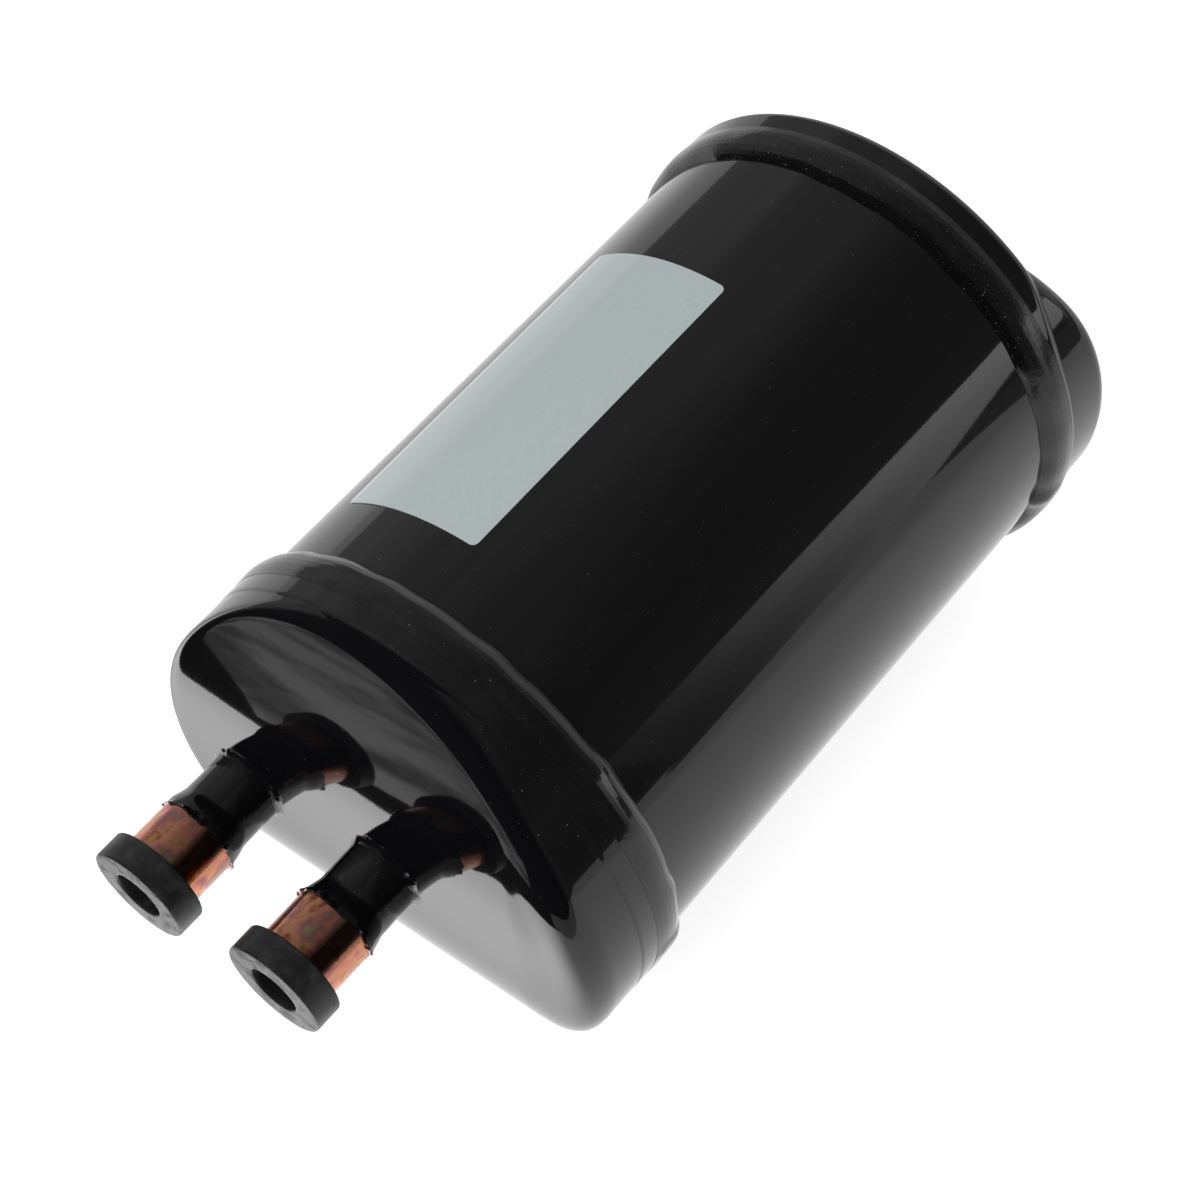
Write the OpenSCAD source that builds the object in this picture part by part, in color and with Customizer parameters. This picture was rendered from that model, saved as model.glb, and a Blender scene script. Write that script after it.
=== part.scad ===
// Suction line accumulator: a welded steel vessel with two copper connections on its top head.
// Millimetres. +Z runs up the vessel's axis and +X along the line of the connections,
// with z = 0 at the underside of the safety plug.

/* [Shell] */
// Outside diameter of the shell tube
shell_od = 127; // [110:1:140]
// Wall of the shell tube
shell_wall = 2.3; // [1.5:0.1:3]
// Painted shell in view between the two weld beads
shell_in_view = 149.7; // [120:0.1:200]

/* [Heads] */
// Wall of the drawn heads
head_wall = 2.6; // [2:0.1:3]
// Play between a head's skirt and the shell, on the radius
skirt_play = 0.1; // [0.05:0.05:0.3]
// Height of the low shoulder above the weld bead
shoulder_h = 7.6; // [6.6:0.1:9]
// Rounding of the shoulder's edge
shoulder_round = 3; // [2.7:0.1:4]
// Rise of the top head's crown above the weld bead
top_rise = 25; // [22:0.5:30]
// Rise of the bottom head's crown above the weld bead
bottom_rise = 21; // [18:0.5:26]
// Radius of a crown across the line of the connections
crown_r = 106; // [95:1:130]
// Radius of the top crown's long flank
top_flank_r = 165; // [150:1:190]
// Offset of the crown's highest line from the vessel's axis
crown_shift = 7.5; // [0:0.5:9]
// Step from the shoulder's edge to the foot of a crown
crown_step = 1.2; // [0.6:0.1:2]
// Rounding at the two ends of a crown
crown_end_round = 10.4; // [6:0.1:14]

/* [Weld beads] */
// Length of a girth bead along the shell
bead_len = 10.1; // [8:0.1:13]
// Length of bead that laps over the head's skirt
bead_lap = 5; // [4:0.1:6]
// Height of the bead's crest over the skirt
bead_crest = 0.8; // [0.4:0.1:1.2]
// Gap that stands for the fused line between a bead or sticker and the face under it
fused_gap = 0.04; // [0.02:0.01:0.08]

/* [Connections] */
// Outside diameter of the connection tubes
tube_od = 19.05; // [17:0.05:20]
// Wall of the connection tubes
tube_wall = 1; // [0.8:0.05:1.2]
// Inset of the inlet's axis from the shell's outside
inlet_inset = 24.8; // [23:0.1:28]
// Distance between the axes of the inlet and the outlet
tube_spacing = 44.45; // [42:0.05:46]
// Inside diameter of the expanded socket
socket_id = 19.1; // [18.8:0.05:20]
// Height above the crown where the socket starts to widen
flare_from = 11; // [8:0.5:12]
// Height above the crown where the socket is at its full width
flare_to = 16.5; // [15:0.5:18]
// Height of the socket's rim above the crown
rim_h = 30.5; // [28:0.5:34]
// Length of tube below the crown
tube_below = 12.6; // [11:0.1:16]
// Play of a brazed slip joint, on the radius
braze_play = 0.05; // [0.03:0.01:0.08]
// Width of the braze fillet round a tube
braze_w = 1.7; // [1:0.1:2.5]
// Height of the braze fillet
braze_h = 1.4; // [0.8:0.1:2]

/* [Shipping plugs] */
// Diameter of a plug's flange
plug_flange_d = 27.1; // [25:0.1:29]
// Thickness of a plug's flange
plug_flange_t = 7.5; // [6:0.1:9]
// Length of the plug inside the socket
plug_spigot = 12.5; // [10:0.5:13]
// Diameter of the plug's blind hole
plug_hole_d = 13.3; // [11:0.1:15]
// Thickness of the plug's closed end
plug_end_t = 3; // [2:0.5:4]
// Rounding of the flange's edges
plug_edge = 0.6; // [0.3:0.1:1]

/* [Label] */
// Height of the label
label_h = 93.3; // [80:0.1:110]
// Arc that the label covers, in degrees
label_arc = 41.2; // [30:0.1:60]
// Angle of the label's first edge, in degrees from +X
label_from = -94; // [-120:1:-60]
// Gap between the label's upper edge and the top weld bead
label_below_bead = 17.1; // [10:0.1:25]
// Thickness of the label
label_t = 0.2; // [0.1:0.05:0.3]

/* [Inside] */
// Gap between the pick-up tube's open leg and the shell's wall
leg_gap = 5; // [4:0.5:7]
// Clear height under the bend
bend_clear = 10; // [9.5:0.5:14]
// Length that an inner tube enters a connection tube
slip_len = 8; // [6:0.5:10]
// Height of the pick-up tube's open end below the top crown
pickup_below = 34; // [28:1:60]
// Diameter of the bleed hole in the pick-up tube
bleed_d = 2; // [1.5:0.1:3]
// Height of the bleed hole below the top crown
bleed_below = 45; // [36:1:60]
// Straight drop of the inlet deflector below its joint
deflector_drop = 14; // [10:1:20]
// Centre-line radius of the deflector's elbow
deflector_r = 18; // [15:0.5:20]
// Straight outlet of the deflector
deflector_mouth = 5; // [3:0.5:8]
// Diameter of the metering bush where it passes the tube
bush_d = 5; // [4:0.1:6]
// Diameter of the bush's flange
bush_flange_d = 9; // [8:0.1:10]
// Thickness of the bush's flange
bush_flange_t = 1.8; // [1.5:0.1:2.2]
// Bore of the metering bush
bush_bore = 1.2; // [0.8:0.1:1.6]
// Depth of the screen cup
screen_h = 6; // [5:0.1:7]
// Wall of the screen cup
screen_wall = 0.6; // [0.5:0.1:0.8]
// Diameter of the screen's openings
screen_hole_d = 1.3; // [1:0.1:1.5]
// Openings round the screen in each row
screen_holes = 10; // [6:1:12]
// Height of the bracket above the bottom crown
bracket_up = 105; // [80:1:130]
// Thickness of the bracket plate
bracket_t = 2; // [1.5:0.1:3]
// Rim of plate round each leg
bracket_rim = 4; // [3:0.1:4.5]

/* [Safety plug] */
// Diameter of the boss in the bottom head
boss_d = 22; // [20:0.5:24]
// Length of the boss outside the bottom crown
boss_out = 4; // [3.5:0.5:6]
// Length of the boss inside the bottom head
boss_in = 1; // [0.5:0.5:2]
// Diameter of the plug's shank
shank_d = 13; // [11:0.1:14]
// Hexagon of the plug across its flats
hex_af = 17; // [16:1:19]
// Height of the hexagon
hex_h = 7; // [5:0.5:9]
// Diameter of the fusible core
core_d = 6; // [4:0.1:7]
// Leg of the boss's fillet weld
boss_weld = 3; // [2:0.1:3.4]

/* [Hidden] */
$fn = 96;

// Levels up the axis
z_boss = hex_h;
z_bottom_crown = z_boss + boss_out;
z_bottom_rim = z_bottom_crown + bottom_rise;
z_bottom_toe = z_bottom_rim + bead_len;
z_top_toe = z_bottom_toe + shell_in_view;
z_top_rim = z_top_toe + bead_len;
z_top_crown = z_top_rim + top_rise;
z_socket_rim = z_top_crown + rim_h;
z_tube_foot = z_top_crown - tube_below;

// Radii about the axis
shell_r = shell_od / 2;
bore_r = shell_r - shell_wall;
skirt_r = shell_r + skirt_play;
head_r = skirt_r + head_wall;
crest_r = head_r + bead_crest;

// The shell's ends stop short of the shoulders' inner faces
shell_end_gap = 1;
shell_tuck = shoulder_h - head_wall - shell_end_gap;

// Connection tubes and the inner tubes that slip into them
inlet_x = shell_r - inlet_inset;
outlet_x = inlet_x - tube_spacing;
tube_r = tube_od / 2;
tube_bore_r = tube_r - tube_wall;
socket_r = socket_id / 2;
inner_r = tube_bore_r - braze_play;
inner_bore_r = inner_r - tube_wall;
z_slip = z_tube_foot + slip_len;

// Pick-up tube, whose bend spans from the outlet to the open leg
leg_x = leg_gap + inner_r - bore_r;
bend_r = (outlet_x - leg_x) / 2;
bend_x = outlet_x - bend_r;
z_bend_foot = z_bottom_crown + head_wall + bend_clear;
z_bend = z_bend_foot + inner_r + bend_r;
z_pickup = z_top_crown - pickup_below;

// Metering bush and screen under the bend
bush_clear = 0.4;
z_bush_flange = z_bend_foot - bush_clear;
z_bush_foot = z_bush_flange - bush_flange_t;
screen_r = bush_flange_d / 2 + braze_play + screen_wall;
screen_row_gap = 2.2;

// Colours
black_paint = [0.03, 0.03, 0.035];
copper = [0.78, 0.47, 0.34];
bare_steel = [0.55, 0.55, 0.56];
brass = [0.76, 0.62, 0.33];
rubber = [0.12, 0.12, 0.12];
label_paper = [0.76, 0.81, 0.82];
fusible_alloy = [0.66, 0.66, 0.64];

// Half section of a disc whose upper outer edge is rounded
module round_disc(r, h, edge) {
    rotate_extrude()
        union() {
            square([r - edge, h]);
            square([r, h - edge]);
            translate([r - edge, h - edge])
                intersection() {
                    circle(edge);
                    square(edge);
                }
        }
}

// Section of a crown across X, with its ridge at the origin: one radius on each flank
module crown_section(short_r, long_r) {
    for (flank = [[short_r, 0], [long_r, -2 * long_r]])
        intersection() {
            translate([0, -flank[0]]) circle(flank[0], $fn = 240);
            translate([flank[1], -2 * flank[0]]) square(2 * flank[0]);
        }
}

// Form of a head with a skirt of the given length: a low shoulder all round, and a crown that is
// level along X and curved across it, with its ridge at y = shift. inset moves every face inwards.
module head_form(rise, shift, long_r, skirt, inset) {
    top = skirt + rise - inset;
    translate([0, 0, -skirt]) {
        round_disc(head_r - inset, skirt + shoulder_h - inset, shoulder_round - inset);
        intersection() {
            round_disc(head_r - crown_step - inset, top, crown_end_round - inset);
            translate([-shell_od, shift, top])
                rotate([90, 0, 90])
                    linear_extrude(2 * shell_od) crown_section(crown_r - inset, long_r - inset);
        }
    }
}

// Drawn head, open downwards: the skirt sleeves over the shell
module head_shell(rise, shift, long_r) {
    difference() {
        head_form(rise, shift, long_r, bead_lap, 0);
        head_form(rise, shift, long_r, bead_lap + 1, head_wall);
    }
}

module place_top_head() {
    translate([0, 0, z_top_rim]) children();
}

// The bottom head is a pressing turned over about the X axis
module place_bottom_head() {
    translate([0, 0, z_bottom_rim])
        rotate([180, 0, 0]) children();
}

module at_x(x) {
    translate([x, 0, 0]) children();
}

// Straight ring between two levels
module ring(r_out, r_in, z_from, z_to) {
    translate([0, 0, z_from])
        difference() {
            cylinder(h = z_to - z_from, r = r_out);
            translate([0, 0, -1])
                cylinder(h = z_to - z_from + 2, r = r_in);
        }
}

// Tube bend of a given angle in the XZ plane, centred on the bend's own axis
module tube_bend(clr, angle) {
    rotate([90, 0, 0])
        rotate_extrude(angle = angle)
            translate([clr, 0])
                difference() {
                    circle(inner_r);
                    circle(inner_bore_r);
                }
}

module shell() {
    color(black_paint)
        ring(shell_r, bore_r, z_bottom_rim - shell_tuck, z_top_rim + shell_tuck);
}

module top_head() {
    color(black_paint)
        difference() {
            place_top_head() head_shell(top_rise, crown_shift, top_flank_r);
            for (x = [inlet_x, outlet_x])
                at_x(x)
                    translate([0, 0, z_top_rim])
                        cylinder(h = 2 * top_rise, r = tube_r + braze_play);
        }
}

module bottom_head() {
    color(black_paint)
        difference() {
            place_bottom_head() head_shell(bottom_rise, -crown_shift, crown_r);
            cylinder(h = z_bottom_rim, r = boss_d / 2 + braze_play);
        }
}

// Lap weld bead from its toe on the shell at z = 0, up over the skirt's edge
module girth_bead() {
    skirt_edge = bead_len - bead_lap;
    r_low = shell_r + fused_gap;
    r_lap = head_r + fused_gap;
    rotate_extrude()
        polygon([
            [r_low, 0],
            [r_low + 0.35 * (crest_r - r_low), 0.1 * bead_len],
            [r_low + 0.72 * (crest_r - r_low), 0.28 * bead_len],
            [r_low + 0.93 * (crest_r - r_low), 0.48 * bead_len],
            [crest_r, 0.66 * bead_len],
            [r_lap + 0.8 * (crest_r - r_lap), 0.84 * bead_len],
            [r_lap + 0.2, bead_len],
            [r_lap, bead_len],
            [r_lap, skirt_edge],
            [r_low, skirt_edge]
        ]);
}

module top_girth_weld() {
    color(black_paint)
        translate([0, 0, z_top_toe]) girth_bead();
}

module bottom_girth_weld() {
    color(black_paint)
        translate([0, 0, z_bottom_toe])
            mirror([0, 0, 1]) girth_bead();
}

// Copper connection: plain tube through the head, widened to a socket for the line's tube
module connection_tube() {
    widen = socket_r - tube_bore_r;
    color(copper)
        translate([0, 0, z_top_crown])
            rotate_extrude()
                polygon([
                    [tube_bore_r, -tube_below],
                    [tube_r, -tube_below],
                    [tube_r, flare_from],
                    [tube_r + widen, flare_to],
                    [tube_r + widen, rim_h],
                    [socket_r, rim_h],
                    [socket_r, flare_to],
                    [tube_bore_r, flare_from]
                ]);
}

module inlet_tube() {
    at_x(inlet_x) connection_tube();
}

module outlet_tube() {
    at_x(outlet_x) connection_tube();
}

// Braze fillet round a tube at x, seated on the crowned face
module braze_fillet(x) {
    r_in = tube_r + braze_play;
    sink = 2;
    color(black_paint)
        difference() {
            at_x(x)
                translate([0, 0, z_top_crown])
                    rotate_extrude()
                        polygon([
                            [r_in, -sink],
                            [r_in + braze_w, -sink],
                            [r_in + braze_w, 0],
                            [r_in + 0.35 * braze_w, 0.4 * braze_h],
                            [r_in, braze_h]
                        ]);
            place_top_head() head_form(top_rise, crown_shift, top_flank_r, bead_lap, 0);
        }
}

module inlet_braze() {
    braze_fillet(inlet_x);
}

module outlet_braze() {
    braze_fillet(outlet_x);
}

// Shipping plug: flange on the socket's rim, spigot inside it, blind hole from the front
module shipping_plug() {
    flange_r = plug_flange_d / 2;
    spigot_r = socket_r - braze_play;
    hole_r = plug_hole_d / 2;
    front = plug_flange_t;
    color(rubber)
        translate([0, 0, z_socket_rim])
            rotate_extrude()
                polygon([
                    [0, -plug_spigot],
                    [spigot_r - plug_edge, -plug_spigot],
                    [spigot_r, plug_edge - plug_spigot],
                    [spigot_r, 0],
                    [flange_r - plug_edge, 0],
                    [flange_r, plug_edge],
                    [flange_r, front - plug_edge],
                    [flange_r - plug_edge, front],
                    [hole_r, front],
                    [hole_r, plug_end_t - plug_spigot],
                    [0, plug_end_t - plug_spigot]
                ]);
}

module inlet_plug() {
    at_x(inlet_x) shipping_plug();
}

module outlet_plug() {
    at_x(outlet_x) shipping_plug();
}

module label() {
    color(label_paper)
        translate([0, 0, z_top_toe - label_below_bead - label_h])
            rotate([0, 0, label_from])
                rotate_extrude(angle = label_arc)
                    translate([shell_r + fused_gap, 0])
                        square([label_t, label_h]);
}

// Pick-up tube: down from the outlet, round the bend and up to its open end
module u_tube() {
    color(copper)
        difference() {
            union() {
                at_x(outlet_x) ring(inner_r, inner_bore_r, z_bend, z_slip);
                at_x(leg_x) ring(inner_r, inner_bore_r, z_bend, z_pickup);
                translate([bend_x, 0, z_bend])
                    mirror([0, 0, 1]) tube_bend(bend_r, 180);
            }
            translate([bend_x, 0, z_bend_foot - 1])
                cylinder(h = tube_wall + 2, r = bush_d / 2);
            translate([outlet_x, 0, z_top_crown - bleed_below])
                rotate([90, 0, 0])
                    cylinder(h = 2 * inner_r, r = bleed_d / 2, $fn = 32);
        }
}

// Elbow under the inlet that turns the flow along the wall
module inlet_deflector() {
    z_turn = z_tube_foot - deflector_drop;
    color(copper)
        at_x(inlet_x) {
            ring(inner_r, inner_bore_r, z_turn, z_slip);
            translate([0, 0, z_turn])
                rotate([0, 0, 90])
                    translate([deflector_r, 0, 0])
                        rotate([0, 0, 180])
                            mirror([0, 0, 1]) tube_bend(deflector_r, 90);
            translate([0, deflector_r, z_turn - deflector_r])
                rotate([-90, 0, 0])
                    ring(inner_r, inner_bore_r, 0, deflector_mouth);
        }
}

module metering_orifice() {
    color(brass)
        translate([bend_x, 0, 0])
            difference() {
                union() {
                    translate([0, 0, z_bush_foot])
                        cylinder(h = bush_flange_t, r = bush_flange_d / 2);
                    translate([0, 0, z_bush_foot])
                        cylinder(h = z_bend_foot + tube_wall - z_bush_foot, r = bush_d / 2 - braze_play);
                }
                translate([0, 0, z_bush_foot - 1])
                    cylinder(h = bend_clear, r = bush_bore / 2, $fn = 32);
            }
}

// Cup screen pushed over the bush's flange
module oil_screen() {
    z_foot = z_bush_flange - screen_h;
    color(brass)
        translate([bend_x, 0, z_foot])
            difference() {
                cylinder(h = screen_h, r = screen_r);
                translate([0, 0, screen_wall])
                    cylinder(h = screen_h, r = screen_r - screen_wall);
                for (row = [0, 1], i = [0 : screen_holes - 1])
                    translate([0, 0, screen_row_gap / 2 + screen_wall + row * screen_row_gap])
                        rotate([0, 90, (i + row / 2) * 360 / screen_holes])
                            cylinder(h = 2 * screen_r, r = screen_hole_d / 2, $fn = 24);
            }
}

// Plate that ties both legs of the pick-up tube to the shell's wall
module tube_bracket() {
    eye_r = inner_r + bracket_rim;
    color(bare_steel)
        translate([0, 0, z_bottom_crown + bracket_up])
            linear_extrude(bracket_t)
                intersection() {
                    difference() {
                        union() {
                            translate([outlet_x, 0]) circle(eye_r);
                            translate([-bore_r, -eye_r]) square([bore_r + outlet_x, 2 * eye_r]);
                        }
                        for (x = [outlet_x, leg_x])
                            translate([x, 0]) circle(inner_r + braze_play);
                    }
                    circle(bore_r - fused_gap);
                }
}

module fuse_boss() {
    color(black_paint)
        ring(boss_d / 2, shank_d / 2 + braze_play, z_boss, z_bottom_crown + head_wall + boss_in);
}

// Fillet weld in the corner between the boss and the bottom head
module fuse_boss_weld() {
    r_in = boss_d / 2 + fused_gap;
    color(black_paint)
        difference() {
            translate([0, 0, z_bottom_crown])
                rotate_extrude()
                    polygon([
                        [r_in, -boss_weld],
                        [r_in + 0.45 * boss_weld, -0.4 * boss_weld],
                        [r_in + boss_weld, 0],
                        [r_in + boss_weld, head_wall],
                        [r_in, head_wall]
                    ]);
            place_bottom_head() head_form(bottom_rise, -crown_shift, crown_r, bead_lap, 0);
        }
}

module fuse_plug() {
    color(brass)
        difference() {
            union() {
                cylinder(h = hex_h, r = hex_af / 2 / cos(30), $fn = 6);
                cylinder(h = z_bottom_crown + head_wall, r = shank_d / 2);
            }
            translate([0, 0, -1])
                cylinder(h = z_bottom_crown + head_wall + 2, r = core_d / 2);
        }
}

module fuse_core() {
    color(fusible_alloy)
        cylinder(h = z_bottom_crown + head_wall, r = core_d / 2 - fused_gap);
}

shell();
top_head();
bottom_head();
top_girth_weld();
bottom_girth_weld();
inlet_tube();
outlet_tube();
inlet_braze();
outlet_braze();
inlet_plug();
outlet_plug();
label();
u_tube();
inlet_deflector();
metering_orifice();
oil_screen();
tube_bracket();
fuse_boss();
fuse_boss_weld();
fuse_plug();
fuse_core();
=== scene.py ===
# Suction line accumulator: the looks of a black welded vessel with two copper connections.
import math

import bmesh
import bpy
import numpy as np
from mathutils import Matrix, Vector


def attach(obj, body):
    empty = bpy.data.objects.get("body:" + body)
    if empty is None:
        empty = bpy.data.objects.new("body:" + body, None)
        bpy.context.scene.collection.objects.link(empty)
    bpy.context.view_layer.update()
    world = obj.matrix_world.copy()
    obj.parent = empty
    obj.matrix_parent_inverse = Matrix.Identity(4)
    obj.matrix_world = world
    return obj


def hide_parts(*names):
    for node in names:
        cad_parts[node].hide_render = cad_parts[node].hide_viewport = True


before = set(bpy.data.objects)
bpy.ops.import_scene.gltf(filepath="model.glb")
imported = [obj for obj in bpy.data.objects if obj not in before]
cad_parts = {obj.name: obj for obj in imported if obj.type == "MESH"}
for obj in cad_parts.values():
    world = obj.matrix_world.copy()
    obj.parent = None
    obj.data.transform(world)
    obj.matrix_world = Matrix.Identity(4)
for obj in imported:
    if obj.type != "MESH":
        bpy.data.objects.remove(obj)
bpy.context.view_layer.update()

# Shell
# A length of welded steel tube, 127 mm across, that closes the vessel's side. It is
# sprayed with gloss black paint after welding, with dust nibs and a faint orange peel.
MM = 0.001
SHELL_R, SHELL_WALL = 63.5, 2.3
SHELL_LOW, SHELL_HIGH = 28.0, 205.9
SHELL_STEP, BORE_STEP = 4, 20
VESSEL_COLUMNS = 360
JOIN_WITHIN = 1e-7


def ring_angles(count):
    return np.linspace(0, 2 * np.pi, count, endpoint=False)


def mesh_piece(name, mesh, smooth_angle):
    """Joins coincident points, turns the faces outwards and smooths all but the sharp edges."""
    work = bmesh.new()
    work.from_mesh(mesh)
    bmesh.ops.remove_doubles(work, verts=work.verts, dist=JOIN_WITHIN)
    bmesh.ops.dissolve_degenerate(work, edges=work.edges, dist=JOIN_WITHIN)
    bmesh.ops.recalc_face_normals(work, faces=work.faces)
    work.to_mesh(mesh)
    work.free()
    mesh.shade_smooth()
    mesh.set_sharp_from_angle(angle=math.radians(smooth_angle))
    piece = bpy.data.objects.new(name, mesh)
    bpy.context.scene.collection.objects.link(piece)
    return piece


def sheet_piece(name, rows, loop_rows=False, smooth_angle=40):
    """A mesh from a grid of points in millimetres, closed round its columns."""
    rows = np.asarray(rows, float)
    count, columns, _ = rows.shape
    index = np.arange(count * columns).reshape(count, columns)
    upper = np.roll(index, -1, axis=0) if loop_rows else index[1:]
    lower = index if loop_rows else index[:-1]
    faces = np.stack([lower, np.roll(lower, -1, axis=1), np.roll(upper, -1, axis=1), upper], axis=-1)
    mesh = bpy.data.meshes.new(name)
    mesh.from_pydata((rows.reshape(-1, 3) * MM).tolist(), [], faces.reshape(-1, 4).tolist())
    return mesh_piece(name, mesh, smooth_angle)


def turned_rows(profile, angles):
    """Rows of points from a profile of (radius, height) pairs turned about the Z axis."""
    profile = np.asarray(profile, float)
    r, z = profile[:, :1], profile[:, 1:]
    return np.stack([r * np.cos(angles), r * np.sin(angles), z + 0 * angles], axis=-1)


def fine(profile, step):
    """The same profile with points no further apart than step."""
    out = []
    for (r0, z0), (r1, z1) in zip(profile[:-1], profile[1:]):
        n = max(1, math.ceil(math.hypot(r1 - r0, z1 - z0) / step))
        out += [(r0 + (r1 - r0) * i / n, z0 + (z1 - z0) * i / n) for i in range(n)]
    return out + [profile[-1]]


def new_material(name):
    material = bpy.data.materials.new(name)
    material.use_nodes = True
    return material, material.node_tree.nodes, material.node_tree.links


def socket_group(name, inputs, outputs):
    """An empty node group with named value inputs (name, default) and value outputs."""
    group = bpy.data.node_groups.new(name, "ShaderNodeTree")
    for label, default in inputs:
        socket = group.interface.new_socket(label, in_out="INPUT", socket_type="NodeSocketFloat")
        socket.default_value = default
    for label in outputs:
        group.interface.new_socket(label, in_out="OUTPUT", socket_type="NodeSocketFloat")
    entry = group.nodes.new("NodeGroupInput")
    leave = group.nodes.new("NodeGroupOutput")
    return group, entry, leave


def placed_group(nodes, group, **values):
    """A node group put into a material with its own values."""
    node = nodes.new("ShaderNodeGroup")
    node.node_tree = group
    for label, value in values.items():
        node.inputs[label].default_value = value
    return node


def object_place(nodes):
    return nodes.new("ShaderNodeTexCoord").outputs["Object"]


def noise(nodes, links, vector, scale, detail=2.0, roughness=0.5):
    node = nodes.new("ShaderNodeTexNoise")
    node.inputs["Scale"].default_value = scale
    node.inputs["Detail"].default_value = detail
    node.inputs["Roughness"].default_value = roughness
    links.new(vector, node.inputs["Vector"])
    return node.outputs["Fac"]


def math_node(nodes, links, operation, first, second=None, clamp=False):
    node = nodes.new("ShaderNodeMath")
    node.operation = operation
    node.use_clamp = clamp
    for socket, value in zip(node.inputs, (first, second)):
        if value is None:
            continue
        if isinstance(value, (int, float)):
            socket.default_value = value
        else:
            links.new(value, socket)
    return node.outputs["Value"]


def ramp(nodes, links, value, low, high, out_low=0.0, out_high=1.0):
    """A value that goes smoothly from out_low to out_high as another goes from low to high."""
    node = nodes.new("ShaderNodeMapRange")
    node.interpolation_type = "SMOOTHSTEP"
    for label, number in (("From Min", low), ("From Max", high), ("To Min", out_low), ("To Max", out_high)):
        node.inputs[label].default_value = number
    links.new(value, node.inputs["Value"])
    return node.outputs["Result"]


def blend(nodes, links, factor, first, second):
    """A colour that goes from first to second, each an RGB tuple or a socket."""
    node = nodes.new("ShaderNodeMix")
    node.data_type = "RGBA"
    links.new(factor, node.inputs["Factor"])
    for label, colour in (("A", first), ("B", second)):
        if isinstance(colour, tuple):
            node.inputs[label].default_value = (*colour, 1)
        else:
            links.new(colour, node.inputs[label])
    return node.outputs["Result"]


def raise_surface(nodes, links, shader, height, strength, distance):
    """Bends a shader's normal by a height, with distance in metres."""
    bump = nodes.new("ShaderNodeBump")
    bump.inputs["Strength"].default_value = strength
    bump.inputs["Distance"].default_value = distance
    links.new(height, bump.inputs["Height"])
    links.new(bump.outputs["Normal"], shader.inputs["Normal"])


def scattered_dots(nodes, links, place, scale, size, share):
    """Small round dots at random places, of which a share is kept."""
    cells = nodes.new("ShaderNodeTexVoronoi")
    cells.inputs["Scale"].default_value = scale
    links.new(place, cells.inputs["Vector"])
    chance = nodes.new("ShaderNodeSeparateColor")
    links.new(cells.outputs["Color"], chance.inputs["Color"])
    kept = math_node(nodes, links, "LESS_THAN", chance.outputs["Red"], share)
    dots = ramp(nodes, links, cells.outputs["Distance"], size, 0.5 * size)
    return math_node(nodes, links, "MULTIPLY", dots, kept)


NIB_SCALE, NIB_SIZE = 480, 0.085
SPECK_SCALE, SPECK_SIZE, SPECK_TONE = 1300, 0.16, 0.5
FIBRE_SCALE, FIBRE_EDGE, FIBRE_CORE = 95, 0.007, 0.003
FIBRE_PATCH_SCALE, FIBRE_PATCH_SIZE = 120, 0.6


def make_dust_group():
    """Dust nibs, fine specks and short fibres on paint: a mask from 0 to 1."""
    group, entry, leave = socket_group("specks_and_fibres", [("Specks", 0.3), ("Fibres", 0.1)], ["Mask"])
    nodes, links = group.nodes, group.links
    place = object_place(nodes)
    nibs = scattered_dots(nodes, links, place, NIB_SCALE, NIB_SIZE, entry.outputs["Specks"])
    specks = scattered_dots(nodes, links, place, SPECK_SCALE, SPECK_SIZE, entry.outputs["Specks"])
    specks = math_node(nodes, links, "MULTIPLY", specks, SPECK_TONE)
    contour = math_node(nodes, links, "SUBTRACT", noise(nodes, links, place, FIBRE_SCALE, 1), 0.5)
    thread = ramp(nodes, links, math_node(nodes, links, "ABSOLUTE", contour), FIBRE_EDGE, FIBRE_CORE)
    patch = scattered_dots(nodes, links, place, FIBRE_PATCH_SCALE, FIBRE_PATCH_SIZE, entry.outputs["Fibres"])
    fibres = math_node(nodes, links, "MULTIPLY", thread, patch)
    dots = math_node(nodes, links, "MAXIMUM", nibs, specks)
    links.new(math_node(nodes, links, "MAXIMUM", dots, fibres, clamp=True), leave.inputs["Mask"])
    return group


PEEL_SCALE, WAVE_SCALE = 700, 28


def make_paint_surface_group():
    """Sprayed paint: a fine orange peel over long soft waves, as a height."""
    group, entry, leave = socket_group("sprayed_surface", [("Peel", 0.3), ("Waves", 0.5)], ["Height"])
    nodes, links = group.nodes, group.links
    place = object_place(nodes)
    peel = noise(nodes, links, place, PEEL_SCALE, 1)
    peel = math_node(nodes, links, "MULTIPLY", peel, entry.outputs["Peel"])
    waves = noise(nodes, links, place, WAVE_SCALE, 1)
    waves = math_node(nodes, links, "MULTIPLY", waves, entry.outputs["Waves"])
    links.new(math_node(nodes, links, "ADD", peel, waves), leave.inputs["Height"])
    return group


DUST_GROUP = make_dust_group()
PAINT_SURFACE_GROUP = make_paint_surface_group()
PAINT_BLACK = (0.0030, 0.0030, 0.0036)
DUST_GREY = (0.13, 0.13, 0.135)
PAINT_IOR, PAINT_RELIEF = 1.52, 0.0001


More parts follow.
